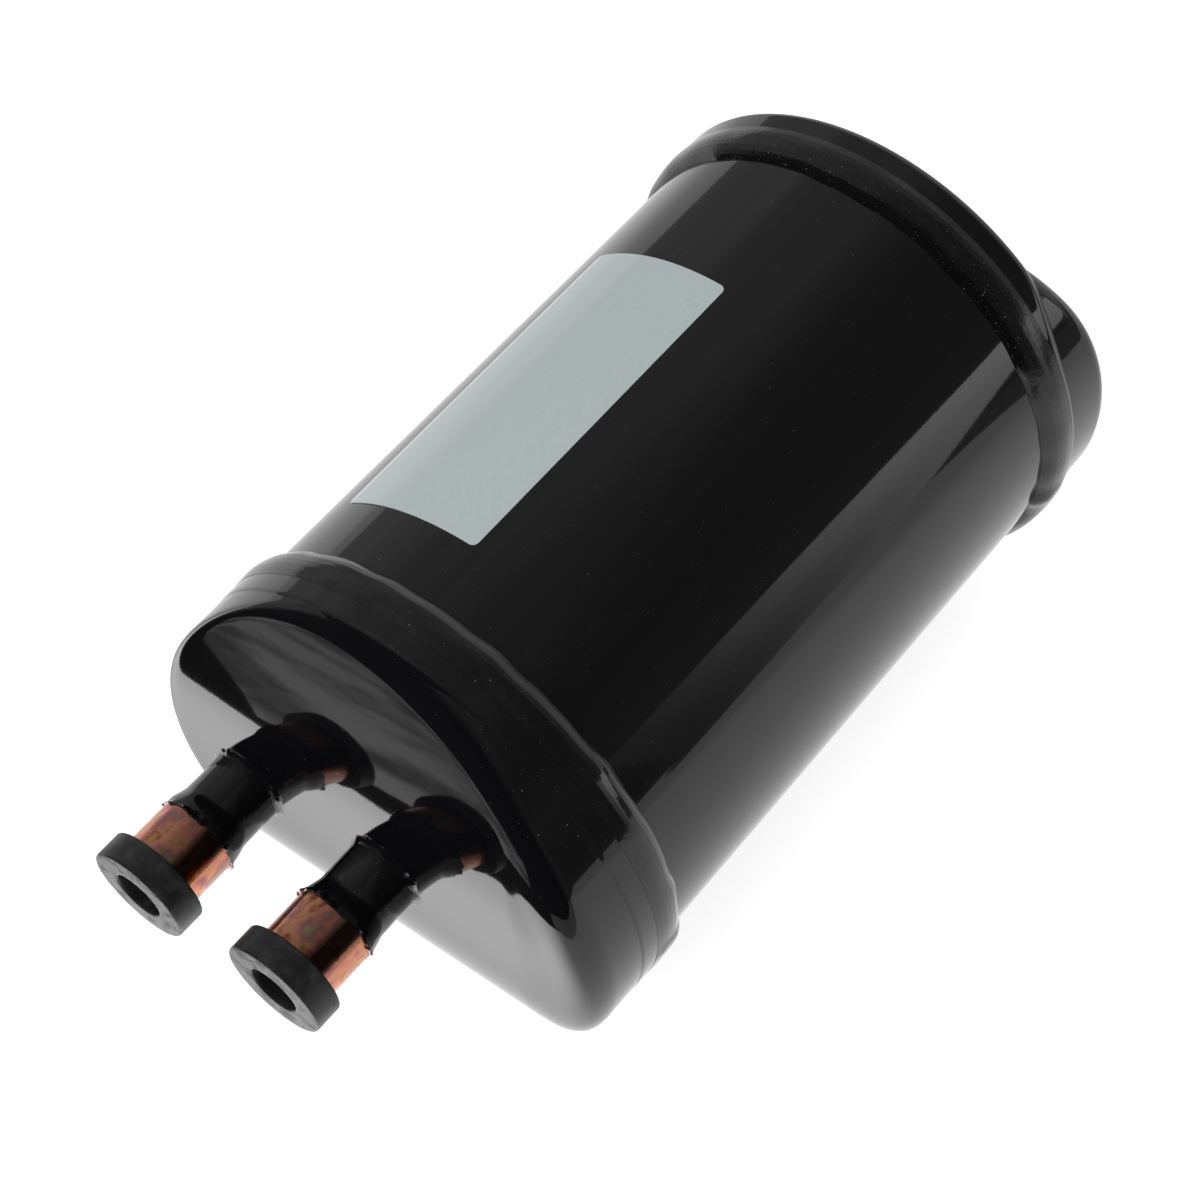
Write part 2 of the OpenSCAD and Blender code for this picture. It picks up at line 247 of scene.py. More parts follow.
def gloss_black(name, specks, fibres, peel, waves, gloss=0.05, dusty=0.5):
    """Gloss black paint with its own amount of specks, fibres, orange peel and waviness."""
    material, nodes, links = new_material(name)
    shader = nodes["Principled BSDF"]
    shader.inputs["IOR"].default_value = PAINT_IOR
    mask = placed_group(nodes, DUST_GROUP, Specks=specks, Fibres=fibres).outputs["Mask"]
    links.new(blend(nodes, links, mask, PAINT_BLACK, DUST_GREY), shader.inputs["Base Color"])
    links.new(ramp(nodes, links, mask, 0, 1, gloss, dusty), shader.inputs["Roughness"])
    surface = placed_group(nodes, PAINT_SURFACE_GROUP, Peel=peel, Waves=waves)
    raise_surface(nodes, links, shader, surface.outputs["Height"], 1.0, PAINT_RELIEF)
    return material


def dress(piece, material, node):
    """Gives a piece its material and puts it in the place of its solid."""
    piece.data.materials.append(material)
    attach(piece, "root")
    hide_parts(node)


shell_profile = fine([(SHELL_R, SHELL_LOW), (SHELL_R, SHELL_HIGH)], SHELL_STEP)
shell_profile += fine([(SHELL_R - SHELL_WALL, SHELL_HIGH), (SHELL_R - SHELL_WALL, SHELL_LOW)], BORE_STEP)
shell_rows = turned_rows(shell_profile, ring_angles(VESSEL_COLUMNS))
shell_piece = sheet_piece("painted_shell", shell_rows, loop_rows=True)
SHELL_PAINT = gloss_black("shell_gloss_black", specks=0.04, fibres=0.0, peel=0.02, waves=0.25)
dress(shell_piece, SHELL_PAINT, "shell")

# Drawn heads
# Two deep-drawn steel caps that sleeve over the shell's ends. Each has a low shoulder and a
# crown that is level along the connections and curved across them, all painted gloss black.
HEAD_R, HEAD_WALL, SKIRT_BELOW = 66.2, 2.6, 5.0
SHOULDER_H, SHOULDER_ROUND = 7.6, 3.0
CROWN_R, CROWN_SHIFT = 106.0, 7.5
TOP_FORM = {"rise": 25.0, "flank_r": 165.0, "step": 0.2, "dip": 0.0, "end": 10.4, "crisp_end": 7.4}
BOTTOM_FORM = {"rise": 21.0, "flank_r": 106.0, "step": 1.2, "dip": 5.0, "end": 7.5, "crisp_end": 7.5}
TOP_RIM, BOTTOM_RIM = 201.9, 32.0
INLET_X, OUTLET_X = 38.7, -5.75
TUBE_HOLE_R, BOSS_HOLE_R = 9.575, 11.05
RIDGE_BLEND, SOFT_EDGE, CRISP_EDGE = 0.4, 5.5, 2.2
EDGE_CRISPS_ALONG, EDGE_OPENS_AT = (-20, 38), (44, 58)
END_CRISPS_ALONG, DIP_ALONG = (0, 45), (48, 64)
CREASE_SHARP, CREASE_BLEND, CREASE_IN, CREASE_RUN = 0.01, 5.0, 2, 14
RAY_REACH, RAY_HALVINGS = 110.0, 36
CLIMB_BANDS = [(0, 4, 10), (4.1, 13, 64), (13.3, 32, 52), (32.6, 90, 60)]
INSIDE_EVERY = 5
DRILL_LEN, DRILL_SIDES = 0.2, 96


def soft_max(a, b, width):
    share = np.clip(0.5 + 0.5 * (a - b) / width, 0, 1)
    return b + (a - b) * share + width * share * (1 - share)


def disc_distance(r, z, radius, height, edge):
    """Signed distance to a disc that reaches far down, with its upper edge rounded."""
    wall, top = r - radius + edge, z - height + edge
    return np.hypot(np.maximum(wall, 0), np.maximum(top, 0)) + np.minimum(np.maximum(wall, top), 0) - edge


def eased(value, low, high):
    share = np.clip((value - low) / (high - low), 0, 1)
    return share * share * (3 - 2 * share)


def head_distance(p, form):
    """Signed distance, near enough, from points to a head's outer face. z is 0 at the weld.

    The crown's edge is crisper at its +X end, and the shoulder may dip at both ends."""
    x, y, z = p[..., 0], p[..., 1], p[..., 2]
    r = np.hypot(x, y)
    crest = form["rise"] + RIDGE_BLEND / 4
    bend = np.where(y > CROWN_SHIFT, CROWN_R, form["flank_r"])
    barrel = np.hypot(y - CROWN_SHIFT, z - crest + bend) - bend
    edge = SOFT_EDGE + (CRISP_EDGE - SOFT_EDGE) * eased(x, *EDGE_CRISPS_ALONG)
    edge = RIDGE_BLEND + (edge - RIDGE_BLEND) * eased(r, *EDGE_OPENS_AT)
    end = form["end"] + (form["crisp_end"] - form["end"]) * eased(x, *END_CRISPS_ALONG)
    crown = soft_max(disc_distance(r, z, HEAD_R - form["step"], crest, end), barrel, edge)
    ring_h = SHOULDER_H - form["dip"] * eased(np.abs(x), *DIP_ALONG)
    shoulder = disc_distance(r, z, HEAD_R, ring_h, SHOULDER_ROUND)
    crease = CREASE_SHARP + CREASE_BLEND * np.clip((HEAD_R - CREASE_IN - r) / CREASE_RUN, 0, 1)
    return -soft_max(-crown, -shoulder, crease)


def head_skin(form, inset, climbs, angles):
    """Rows of points on a head's face, found along rays from a point inside it."""
    heart = np.array([0, 0, -SKIRT_BELOW])
    level, up = np.cos(climbs)[:, None], np.sin(climbs)[:, None]
    ray = np.stack([level * np.cos(angles), level * np.sin(angles), up + 0 * angles], axis=-1)
    near, far = np.zeros(ray.shape[:2]), np.full(ray.shape[:2], RAY_REACH)
    for _ in range(RAY_HALVINGS):
        middle = (near + far) / 2
        outside = head_distance(heart + middle[..., None] * ray, form) + inset > 0
        far, near = np.where(outside, middle, far), np.where(outside, near, middle)
    return heart + far[..., None] * ray


def head_piece(name, rim, form, turned_over, holes):
    angles = ring_angles(VESSEL_COLUMNS)
    climbs = np.radians(np.concatenate([np.linspace(*band) for band in CLIMB_BANDS]))
    outer = head_skin(form, 0, climbs, angles)
    inner = head_skin(form, HEAD_WALL, climbs[::INSIDE_EVERY], angles)
    rows = np.concatenate([outer[::-1], inner])
    upwards = -1 if turned_over else 1
    rows[..., 2] = rim + upwards * rows[..., 2]
    piece = sheet_piece(name, rows, smooth_angle=50)
    for x, radius in holes:
        drill_at = (x * MM, 0, rim * MM + upwards * DRILL_LEN / 2)
        bpy.ops.mesh.primitive_cylinder_add(vertices=DRILL_SIDES, radius=radius * MM, depth=DRILL_LEN,
                                            location=drill_at)
        drill = bpy.context.object
        cut = piece.modifiers.new("drilled", "BOOLEAN")
        cut.object = drill
        cut.solver = "EXACT"
        bpy.context.view_layer.update()
        drilled = piece.evaluated_get(bpy.context.evaluated_depsgraph_get())
        mesh = bpy.data.meshes.new_from_object(drilled)
        piece.modifiers.clear()
        piece.data = mesh
        bpy.data.objects.remove(drill)
    return piece


HEAD_PAINT = gloss_black("head_gloss_black", specks=0.06, fibres=0.0, peel=0.03, waves=0.5)
top_head = head_piece("painted_top_head", TOP_RIM, TOP_FORM, False,
                      [(INLET_X, TUBE_HOLE_R), (OUTLET_X, TUBE_HOLE_R)])
dress(top_head, HEAD_PAINT, "top_head")
bottom_head = head_piece("painted_bottom_head", BOTTOM_RIM, BOTTOM_FORM, True, [(0, BOSS_HOLE_R)])
dress(bottom_head, HEAD_PAINT, "bottom_head")

# Girth welds
# A lap weld bead joins each head's skirt to the shell. It was laid in one turn, so it is a
# little rippled and uneven, and the paint over it holds more dust than the smooth faces do.
TOP_TOE, BOTTOM_TOE = 191.8, 42.1
BEAD_LEN, BEAD_MOST_R = 10.1, 66.85
BEAD_PROFILE = [(63.54, 0), (64.5, 0.7), (65.45, 1.9), (66.1, 3.3), (66.45, 5.0), (66.58, 6.6), (66.5, 8.2),
                (66.36, 9.3), (66.26, BEAD_LEN)]
BEAD_UNDERSIDE = [(66.24, BEAD_LEN), (66.24, 5.1), (63.54, 5.1)]
BEAD_COLUMNS, BEAD_STEP = 900, 0.45
BEAD_SWELL, TOE_WANDER, HEEL_FROM = 0.05, 0.22, 0.98
RIPPLES, RIPPLE_BOW, RIPPLE_DRIFT, RIPPLE_H = 170, 9, 3, 0.003
STOP_AT, STOP_WIDE, STOP_PROUD, STOP_RUN = math.radians(163), 0.05, 0.5, 1.2


def uneven(angles, seed, lowest, highest):
    """A smooth closed run of random height round a ring, between about -1 and 1."""
    rng = np.random.default_rng(seed)
    orders = np.arange(lowest, highest)
    weights = rng.normal(size=orders.size) / np.sqrt(orders.size)
    starts = rng.uniform(0, 2 * np.pi, orders.size)
    return (weights[:, None] * np.cos(orders[:, None] * angles + starts[:, None])).sum(axis=0)


def bead_piece(name, toe, direction, seed, rippled):
    """A bead from its toe on the shell to its heel on the head, with a lump where it stopped."""
    angles = ring_angles(BEAD_COLUMNS)
    base = np.array(fine(BEAD_PROFILE, BEAD_STEP))
    along = base[:, 1:] / BEAD_LEN
    body = np.sin(np.pi * np.clip(along, 0, 1)) ** 0.8
    bow = RIPPLE_BOW * (along - 0.5) ** 2 * np.pi
    ripple = np.cos(RIPPLES * angles + bow + RIPPLE_DRIFT * uneven(angles, seed, 2, 9))
    from_stop = (angles - STOP_AT + np.pi) % (2 * np.pi) - np.pi
    stop = np.exp(-((from_stop / STOP_WIDE) ** 2))
    swell = rippled * (BEAD_SWELL * uneven(angles, seed + 1, 6, 40) + RIPPLE_H * ripple)
    radius = np.minimum(base[:, :1] + body * (swell + STOP_PROUD * stop), BEAD_MOST_R)
    wander = TOE_WANDER * uneven(angles, seed + 2, 3, 40) + STOP_RUN * stop
    height = base[:, 1:] - (1 - along) * wander * (along < HEEL_FROM)
    outer = np.stack([radius * np.cos(angles), radius * np.sin(angles), toe + direction * height], axis=-1)
    inner = turned_rows([(r, toe + direction * z) for r, z in BEAD_UNDERSIDE], angles)
    return sheet_piece(name, np.concatenate([outer, inner]), loop_rows=True, smooth_angle=60)


WELD_PAINT = gloss_black("weld_gloss_black", specks=0.2, fibres=0.01, peel=0.15, waves=0.8, gloss=0.08)
FAR_WELD_PAINT = gloss_black("lower_weld_dusty_black", specks=0.75, fibres=0.07, peel=0.4, waves=1.2,
                             gloss=0.18)
top_weld = bead_piece("top_weld_bead", TOP_TOE, 1, 11, 0.4)
dress(top_weld, WELD_PAINT, "top_girth_weld")
bottom_weld = bead_piece("bottom_weld_bead", BOTTOM_TOE, -1, 23, 1.0)
dress(bottom_weld, FAR_WELD_PAINT, "bottom_girth_weld")

# Copper connections
# Two drawn copper tubes brazed through the top head and widened to a socket at the end. The
# black paint stops in a ragged lip below the socket, and the heat has tinted the bare copper.
TUBE_R, TUBE_WALL = 9.525, 1.0
SOCKET_BORE, SOCKET_R = 9.55, 10.55
TOP_CROWN = 226.9
TUBE_FOOT, FLARE_FROM, FLARE_TO, SOCKET_RIM = 214.3, 237.9, 243.4, 257.4
RIM_ROUND, RIM_FLAT_IN = 0.25, 0.2
TUBE_COLUMNS = 144
PAINT_SKIN, PAINT_FOOT = 0.12, TOP_CROWN - 3
SAG_MOST, SAG_FROM, SAG_RUN, SAG_TURN = 0.10, TOP_CROWN + 3, 6, 0.05
LIP_Z = {"inlet": 244.9, "outlet": 244.2}
LIP_BELOW, LIP_ROWS, SOCKET_ROWS = 2.0, 46, 12
LIP_PROFILE = [(-1.2, 0.15), (-0.7, 0.45), (-0.35, 0.85), (-0.1, 1.0), (0.05, 0.7), (0.1, 0.0)]
LIP_END = LIP_PROFILE[-1][0]
LIP_WAVE, LIP_RAG = 0.40, 0.14
LIP_MIDDLE, LIP_SWELL, LIP_FRAY, LIP_LEAST, LIP_MOST = 0.35, 0.5, 0.3, 0.05, 0.95
TINT_SCALE, TINT_STRETCH = 150, 0.8
TINT_STOPS = [(0.32, (0.14, 0.045, 0.028)), (0.42, (0.36, 0.13, 0.065)), (0.49, (0.66, 0.30, 0.16)),
              (0.55, (0.62, 0.24, 0.18)), (0.62, (0.38, 0.17, 0.16)), (0.72, (0.36, 0.28, 0.16))]
STREAK_SCALE, STREAK_STRETCH = 260, 0.10
# One dark tone serves both the oxide streaks and the band of painted shade.
OXIDE_AND_SHADE_TONE = (0.020, 0.011, 0.009)
# A band of painted shade at one turn round each tube, the same on both tubes.
SHADE_BAND_AT, SHADE_BAND_WIDE, SHADE_BAND_WANDER = 0.613, 0.045, 0.10
SHADE_BAND_STRENGTH, STREAK_STRENGTH = 0.96, 0.5
GRAIN_SCALE, GRAIN_STRETCH, GRAIN_STRENGTH, GRAIN_RELIEF = 1400, 0.03, 0.12, 0.00005


def stretched(nodes, links, place, along):
    """The same place, drawn out along the tube's axis."""
    node = nodes.new("ShaderNodeMapping")
    node.inputs["Scale"].default_value = (1, 1, along)
    links.new(place, node.inputs["Vector"])
    return node.outputs["Vector"]


def axis_parts(nodes, links, vector):
    """The X, Y and Z of a place or of a UV sheet."""
    node = nodes.new("ShaderNodeSeparateXYZ")
    links.new(vector, node.inputs["Vector"])
    return node.outputs


def uv_parts(nodes, links, sheet):
    node = nodes.new("ShaderNodeUVMap")
    node.uv_map = sheet
    return axis_parts(nodes, links, node.outputs["UV"])


def heat_tinted_copper():
    """Copper with clouds of heat tint, streaks of oxide, a band of painted shade at the same turn down both
    tubes, and a grain along the tube.
    """
    material, nodes, links = new_material("heat_tinted_copper")
    shader = nodes["Principled BSDF"]
    place = object_place(nodes)
    cloud = noise(nodes, links, stretched(nodes, links, place, TINT_STRETCH), TINT_SCALE, 3, 0.55)
    tint = nodes.new("ShaderNodeValToRGB")
    while len(tint.color_ramp.elements) < len(TINT_STOPS):
        tint.color_ramp.elements.new(0.5)
    for element, (position, colour) in zip(tint.color_ramp.elements, TINT_STOPS):
        element.position = position
        element.color = (*colour, 1)
    links.new(cloud, tint.inputs["Fac"])
    streaks = noise(nodes, links, stretched(nodes, links, place, STREAK_STRETCH), STREAK_SCALE, 2, 0.5)
    wander = math_node(nodes, links, "SUBTRACT", streaks, 0.5)
    wander = math_node(nodes, links, "MULTIPLY", wander, SHADE_BAND_WANDER)
    # Painted shade: a dark band at one fixed turn round both tubes, wandering a little with the streaks.
    turn = uv_parts(nodes, links, "tube_sheet")["X"]
    from_shade_band = math_node(nodes, links, "SUBTRACT", turn, SHADE_BAND_AT)
    from_shade_band = math_node(nodes, links, "ADD", from_shade_band, wander)
    from_shade_band = math_node(nodes, links, "ABSOLUTE", from_shade_band)
    band = ramp(nodes, links, from_shade_band, 1.5 * SHADE_BAND_WIDE, 0.35 * SHADE_BAND_WIDE, 0, SHADE_BAND_STRENGTH)
    dark_streaks = ramp(nodes, links, streaks, 0.40, 0.28, 0, STREAK_STRENGTH)
    oxide_and_shade = math_node(nodes, links, "MAXIMUM", band, dark_streaks)
    links.new(blend(nodes, links, oxide_and_shade, tint.outputs["Color"], OXIDE_AND_SHADE_TONE), shader.inputs["Base Color"])
    links.new(ramp(nodes, links, cloud, 0.35, 0.65, 1.0, 0.93), shader.inputs["Metallic"])
    grain = noise(nodes, links, stretched(nodes, links, place, GRAIN_STRETCH), GRAIN_SCALE, 2)
    links.new(ramp(nodes, links, grain, 0.3, 0.7, 0.17, 0.32), shader.inputs["Roughness"])
    raise_surface(nodes, links, shader, grain, GRAIN_STRENGTH, GRAIN_RELIEF)
    return material


def connection_piece(name, x, lip, seed):
    """A tube from its foot in the head to the socket's rim, with its paint up to the lip."""
    angles = ring_angles(TUBE_COLUMNS)
    rag = LIP_WAVE * uneven(angles, seed, 2, 10) + LIP_RAG * uneven(angles, seed + 1, 12, 40)
    fray = LIP_SWELL * uneven(angles, seed + 2, 2, 9) + LIP_FRAY * uneven(angles, seed + 3, 9, 30)
    proudness = np.clip(LIP_MIDDLE + fray, LIP_LEAST, LIP_MOST)

    def tube_radius(z):
        return TUBE_R + (SOCKET_R - TUBE_R) * eased(z, FLARE_FROM, FLARE_TO)

    rows = []
    for z in np.linspace(TUBE_FOOT, lip - LIP_BELOW, LIP_ROWS):
        sag = SAG_MOST * uneven(angles + z * SAG_TURN, seed + 4, 2, 7)
        sag = sag * np.clip((z - SAG_FROM) / SAG_RUN, 0, 1)
        rows.append((tube_radius(z) + PAINT_SKIN * (z > PAINT_FOOT) + sag, z + 0 * angles))
    for step, proud in LIP_PROFILE:
        rows.append((tube_radius(lip) + PAINT_SKIN * (proud > 0) + proud * proudness, lip + step + rag))
    for share in np.linspace(0, 1, SOCKET_ROWS)[1:]:
        z = (lip + LIP_END + rag) * (1 - share) + (SOCKET_RIM - RIM_ROUND) * share
        rows.append((SOCKET_R + 0 * angles, z))
    for r, z in [(SOCKET_R - RIM_FLAT_IN, SOCKET_RIM), (SOCKET_BORE + RIM_FLAT_IN, SOCKET_RIM),
                 (SOCKET_BORE, SOCKET_RIM - RIM_ROUND), (SOCKET_BORE, FLARE_TO),
                 (TUBE_R - TUBE_WALL, FLARE_FROM), (TUBE_R - TUBE_WALL, TUBE_FOOT)]:
        rows.append((r + 0 * angles, z + 0 * angles))
    points = [np.stack([x + r * np.cos(angles), r * np.sin(angles), z], axis=-1) for r, z in rows]
    piece = sheet_piece(name, points, loop_rows=True, smooth_angle=55)
    piece.data.materials.append(HEAT_TINTED_COPPER)
    piece.data.materials.append(TUBE_PAINT)
    paint_tube(piece.data, x, lip + rag)
    return piece


def paint_tube(mesh, x, lip_run):
    """Paints the faces outside and below the lip, and lays the tube out flat as a UV sheet."""
    sheet = mesh.uv_layers.new(name="tube_sheet")
    for face in mesh.polygons:
        turn = math.atan2(face.center.y, face.center.x - x * MM) % (2 * math.pi)
        column = int(round(turn / (2 * math.pi) * TUBE_COLUMNS)) % TUBE_COLUMNS
        outside = math.hypot(face.center.y, face.center.x - x * MM) > (TUBE_R - 0.3 * TUBE_WALL) * MM
        below_lip = face.center.z < (lip_run[column] + 0.9 * LIP_END) * MM
        face.material_index = int(outside and below_lip and face.center.z > PAINT_FOOT * MM)
        for loop in face.loop_indices:
            point = mesh.vertices[mesh.loops[loop].vertex_index].co
            beside = math.remainder(math.atan2(point.y, point.x - x * MM) - turn, 2 * math.pi)
            climb = (point.z / MM - TUBE_FOOT) / (SOCKET_RIM - TUBE_FOOT)
            sheet.data[loop].uv = ((turn + beside) / (2 * math.pi), climb)


HEAT_TINTED_COPPER = heat_tinted_copper()
TUBE_PAINT = gloss_black("tube_gloss_black", specks=0.1, fibres=0.0, peel=0.2, waves=1.6, gloss=0.07)
inlet_tube = connection_piece("inlet_connection", INLET_X, LIP_Z["inlet"], 31)
outlet_tube = connection_piece("outlet_connection", OUTLET_X, LIP_Z["outlet"], 47)
for piece, node in ((inlet_tube, "inlet_tube"), (outlet_tube, "outlet_tube")):
    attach(piece, "root")
    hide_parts(node)

# Braze fillets
# A ring of braze metal closes the joint where each tube leaves the top head. It is a low,
# uneven fillet, painted over with the vessel.
BRAZE_W, BRAZE_H = 1.7, 1.4
BRAZE_SWELL, BRAZE_ROWS = 0.22, 9
BRAZE_SUNK, BRAZE_BITE = 0.9, 0.05


def braze_piece(name, x, seed):
    """A fillet that follows the head's crown, which bends unlike on its two flanks."""
    angles = ring_angles(TUBE_COLUMNS)
    swell = 1 + BRAZE_SWELL * uneven(angles, seed, 2, 14)
    inside = TUBE_R + PAINT_SKIN
    rows = []
    for turn in np.linspace(0, math.pi / 2, BRAZE_ROWS):
        r = inside + BRAZE_W * swell * (1 - math.cos(turn)) ** 0.8
        y = r * np.sin(angles)
        bend = np.where(y > CROWN_SHIFT, CROWN_R, TOP_FORM["flank_r"])
        seat = TOP_CROWN - bend + np.sqrt(bend**2 - (y - CROWN_SHIFT) ** 2)
        z = seat + BRAZE_H * swell * (1 - math.sin(turn))
        rows.append(np.stack([x + r * np.cos(angles), y, z], axis=-1))
    sunk = TOP_CROWN - BRAZE_SUNK + 0 * angles
    for r in (inside + BRAZE_W, inside - BRAZE_BITE):
        rows.append(np.stack([x + r * np.cos(angles), r * np.sin(angles), sunk], axis=-1))
    return sheet_piece(name, rows, loop_rows=True, smooth_angle=60)


for name, x, node, seed in (("inlet_braze_ring", INLET_X, "inlet_braze", 5),
                            ("outlet_braze_ring", OUTLET_X, "outlet_braze", 9)):
    dress(braze_piece(name, x, seed), TUBE_PAINT, node)

# Shipping plugs
# Moulded black rubber plugs close the sockets until the vessel is piped in. Each has a flange
# on the socket's rim, a spigot inside it and a blind hole in its face.
PLUG_R, PLUG_T, PLUG_HOLE_R, PLUG_END_T = 13.55, 7.5, 6.65, 3.0
SPIGOT_R, SPIGOT_LEN = 9.5, 12.5
PLUG_ROUND, PLUG_STEP = 0.55, 1.2
RUBBER_BLACK, RUBBER_DUSTY = (0.009, 0.009, 0.010), (0.028, 0.027, 0.027)
BLOOM_SCALE, RUBBER_GRAIN_SCALE, RUBBER_STRENGTH, RUBBER_RELIEF = 260, 2600, 0.35, 0.0001


def matt_black_rubber():
    """Moulded rubber with a fine grain and a greyish bloom in patches."""
    material, nodes, links = new_material("matt_black_rubber")
    shader = nodes["Principled BSDF"]
    place = object_place(nodes)
    bloom = ramp(nodes, links, noise(nodes, links, place, BLOOM_SCALE, 4, 0.65), 0.4, 0.75)
    links.new(blend(nodes, links, bloom, RUBBER_BLACK, RUBBER_DUSTY), shader.inputs["Base Color"])
    links.new(ramp(nodes, links, bloom, 0, 1, 0.45, 0.62), shader.inputs["Roughness"])
    grain = noise(nodes, links, place, RUBBER_GRAIN_SCALE, 2)
    raise_surface(nodes, links, shader, grain, RUBBER_STRENGTH, RUBBER_RELIEF)
    return material


def rounded(corners, radius, steps=5):
    """A profile whose inner corners are rounded off, as (radius, height) pairs."""
    corners = [np.array(c, float) for c in corners]
    out = [corners[0]]
    for before, here, after in zip(corners[:-2], corners[1:-1], corners[2:]):
        a, b = before - here, after - here
        a, b = a / np.linalg.norm(a), b / np.linalg.norm(b)
        for share in np.linspace(0, 1, steps):
            out.append(here + radius * (a * (1 - share) ** 2 + b * share**2))
    return [tuple(p) for p in out + [corners[-1]]]


RUBBER = matt_black_rubber()
plug_front = SOCKET_RIM + PLUG_T
plug_foot = SOCKET_RIM - SPIGOT_LEN
hole_end = plug_foot + PLUG_END_T
plug_profile = rounded([(0, plug_foot), (SPIGOT_R, plug_foot), (SPIGOT_R, SOCKET_RIM), (PLUG_R, SOCKET_RIM),
                        (PLUG_R, plug_front), (PLUG_HOLE_R, plug_front), (PLUG_HOLE_R, hole_end),
                        (0, hole_end)], PLUG_ROUND)
for name, x, node in (("inlet_shipping_plug", INLET_X, "inlet_plug"),
                      ("outlet_shipping_plug", OUTLET_X, "outlet_plug")):
    plug_rows = turned_rows(fine(plug_profile, PLUG_STEP), ring_angles(TUBE_COLUMNS))
    plug_rows[..., 0] += x
    dress(sheet_piece(name, plug_rows, smooth_angle=35), RUBBER, node)

# Label
# A film sticker on the shell, put on by hand a little askew. It is pale blue-grey, with a
# clear laminate over it, and it is left blank.
LABEL_R, LABEL_LIFT = 63.54, 0.2
LABEL_CORNERS = [(-52.76, 174.3), (-93.97, 175.1), (-51.91, 80.1), (-93.61, 82.7)]
LABEL_LEN, LABEL_WIDE, LABEL_ROUND = 93.5, 45.7, 1.6
LABEL_ROWS, LABEL_COLUMNS, CORNER_ROWS = 70, 60, 9
LABEL_GREY, LABEL_STRIP = (0.385, 0.440, 0.447), (0.55, 0.59, 0.60)
STRIP_FROM, STRIP_TO = 0.03, 0.045
MOTTLE_SCALE, MOTTLE_TONE = 900, 0.12
LAMINATE, LAMINATE_ROUGHNESS = 0.5, 0.12
LABEL_STRENGTH, LABEL_RELIEF = 0.15, 0.00005


def label_piece():
    """A sheet bent round the shell between four corners, each an angle and a height."""
    across = np.linspace(0, 1, LABEL_COLUMNS)
    rounding = LABEL_ROUND / LABEL_LEN
    ends = rounding * (1 - np.cos(np.linspace(0, np.pi / 2, CORNER_ROWS)))
    down = np.concatenate([ends, np.linspace(rounding, 1 - rounding, LABEL_ROWS)[1:-1], 1 - ends[::-1]])
    from_end = np.minimum(down, 1 - down) * LABEL_LEN
    into_round = np.maximum(LABEL_ROUND - from_end, 0)
    pulled = LABEL_ROUND - np.sqrt(np.maximum(LABEL_ROUND**2 - into_round**2, 0))
    side_in = pulled[:, None] / LABEL_WIDE
    side = side_in + across * (1 - 2 * side_in)
    corner = np.array(LABEL_CORNERS)
    v, u = down[:, None, None], side[..., None]
    place = (corner[0] * (1 - u) + corner[1] * u) * (1 - v) + (corner[2] * (1 - u) + corner[3] * u) * v
    turn, z = np.radians(place[..., 0]), place[..., 1]
    face = np.stack([np.cos(turn), np.sin(turn)], axis=-1)
    top = np.concatenate([face * (LABEL_R + LABEL_LIFT), z[..., None]], axis=-1)
    foot = np.concatenate([face * LABEL_R, z[..., None]], axis=-1)
    rows, columns = z.shape
    points = np.concatenate([top.reshape(-1, 3), foot.reshape(-1, 3)]) * MM
    index = np.arange(rows * columns).reshape(rows, columns)
    quads = np.stack([index[:-1, :-1], index[:-1, 1:], index[1:, 1:], index[1:, :-1]], axis=-1)
    quads = quads.reshape(-1, 4)
    border = np.concatenate([index[0, :-1], index[:-1, -1], index[-1, :0:-1], index[:0:-1, 0]])
    follow = np.roll(border, -1)
    under = rows * columns
    walls = np.stack([border, follow, follow + under, border + under], axis=-1)
    mesh = bpy.data.meshes.new("blank_label")
    mesh.from_pydata(points.tolist(), [], np.concatenate([quads, quads + under, walls]).tolist())
    sheet = mesh.uv_layers.new(name="label_sheet")
    flat = np.stack([side, 1 - down[:, None] + 0 * side], axis=-1).reshape(-1, 2)
    flat = np.concatenate([flat, flat])
    corners = np.array([loop.vertex_index for loop in mesh.loops])
    sheet.data.foreach_set("uv", flat[corners].ravel().astype(np.float32))
    return mesh_piece("blank_label", mesh, 40)


def pale_label_film():
    """Pale film with a faint mottle and a lighter strip down one edge, under a clear coat."""
    material, nodes, links = new_material("pale_label_film")
    shader = nodes["Principled BSDF"]
    shader.inputs["Coat Weight"].default_value = LAMINATE
    shader.inputs["Coat Roughness"].default_value = LAMINATE_ROUGHNESS
    mottle = noise(nodes, links, object_place(nodes), MOTTLE_SCALE, 3)
    across = uv_parts(nodes, links, "label_sheet")["X"]
    strip = ramp(nodes, links, across, STRIP_FROM, STRIP_TO, 1, 0)
    paler = ramp(nodes, links, mottle, 0.3, 0.7, 0, MOTTLE_TONE)
    paler = math_node(nodes, links, "ADD", strip, paler, clamp=True)
    links.new(blend(nodes, links, paler, LABEL_GREY, LABEL_STRIP), shader.inputs["Base Color"])
    links.new(ramp(nodes, links, mottle, 0.3, 0.7, 0.38, 0.5), shader.inputs["Roughness"])
    raise_surface(nodes, links, shader, mottle, LABEL_STRENGTH, LABEL_RELIEF)
    return material


dress(label_piece(), pale_label_film(), "label")

# Safety plug
# A steel boss welded into the bottom head takes a brass hexagon plug, whose core of
# low-melting alloy lets the charge out in a fire.
METAL_STRENGTH, METAL_RELIEF = 0.3, 0.00005


def make_metal_grain_group():
    """The fine grain of machined or drawn metal: a value from 0 to 1."""
    group, entry, leave = socket_group("machined_grain", [("Scale", 900.0)], ["Grain"])
    grain = group.nodes.new("ShaderNodeTexNoise")
    grain.inputs["Detail"].default_value = 3
    group.links.new(object_place(group.nodes), grain.inputs["Vector"])
    group.links.new(entry.outputs["Scale"], grain.inputs["Scale"])
    group.links.new(grain.outputs["Fac"], leave.inputs["Grain"])
    return group


METAL_GRAIN_GROUP = make_metal_grain_group()


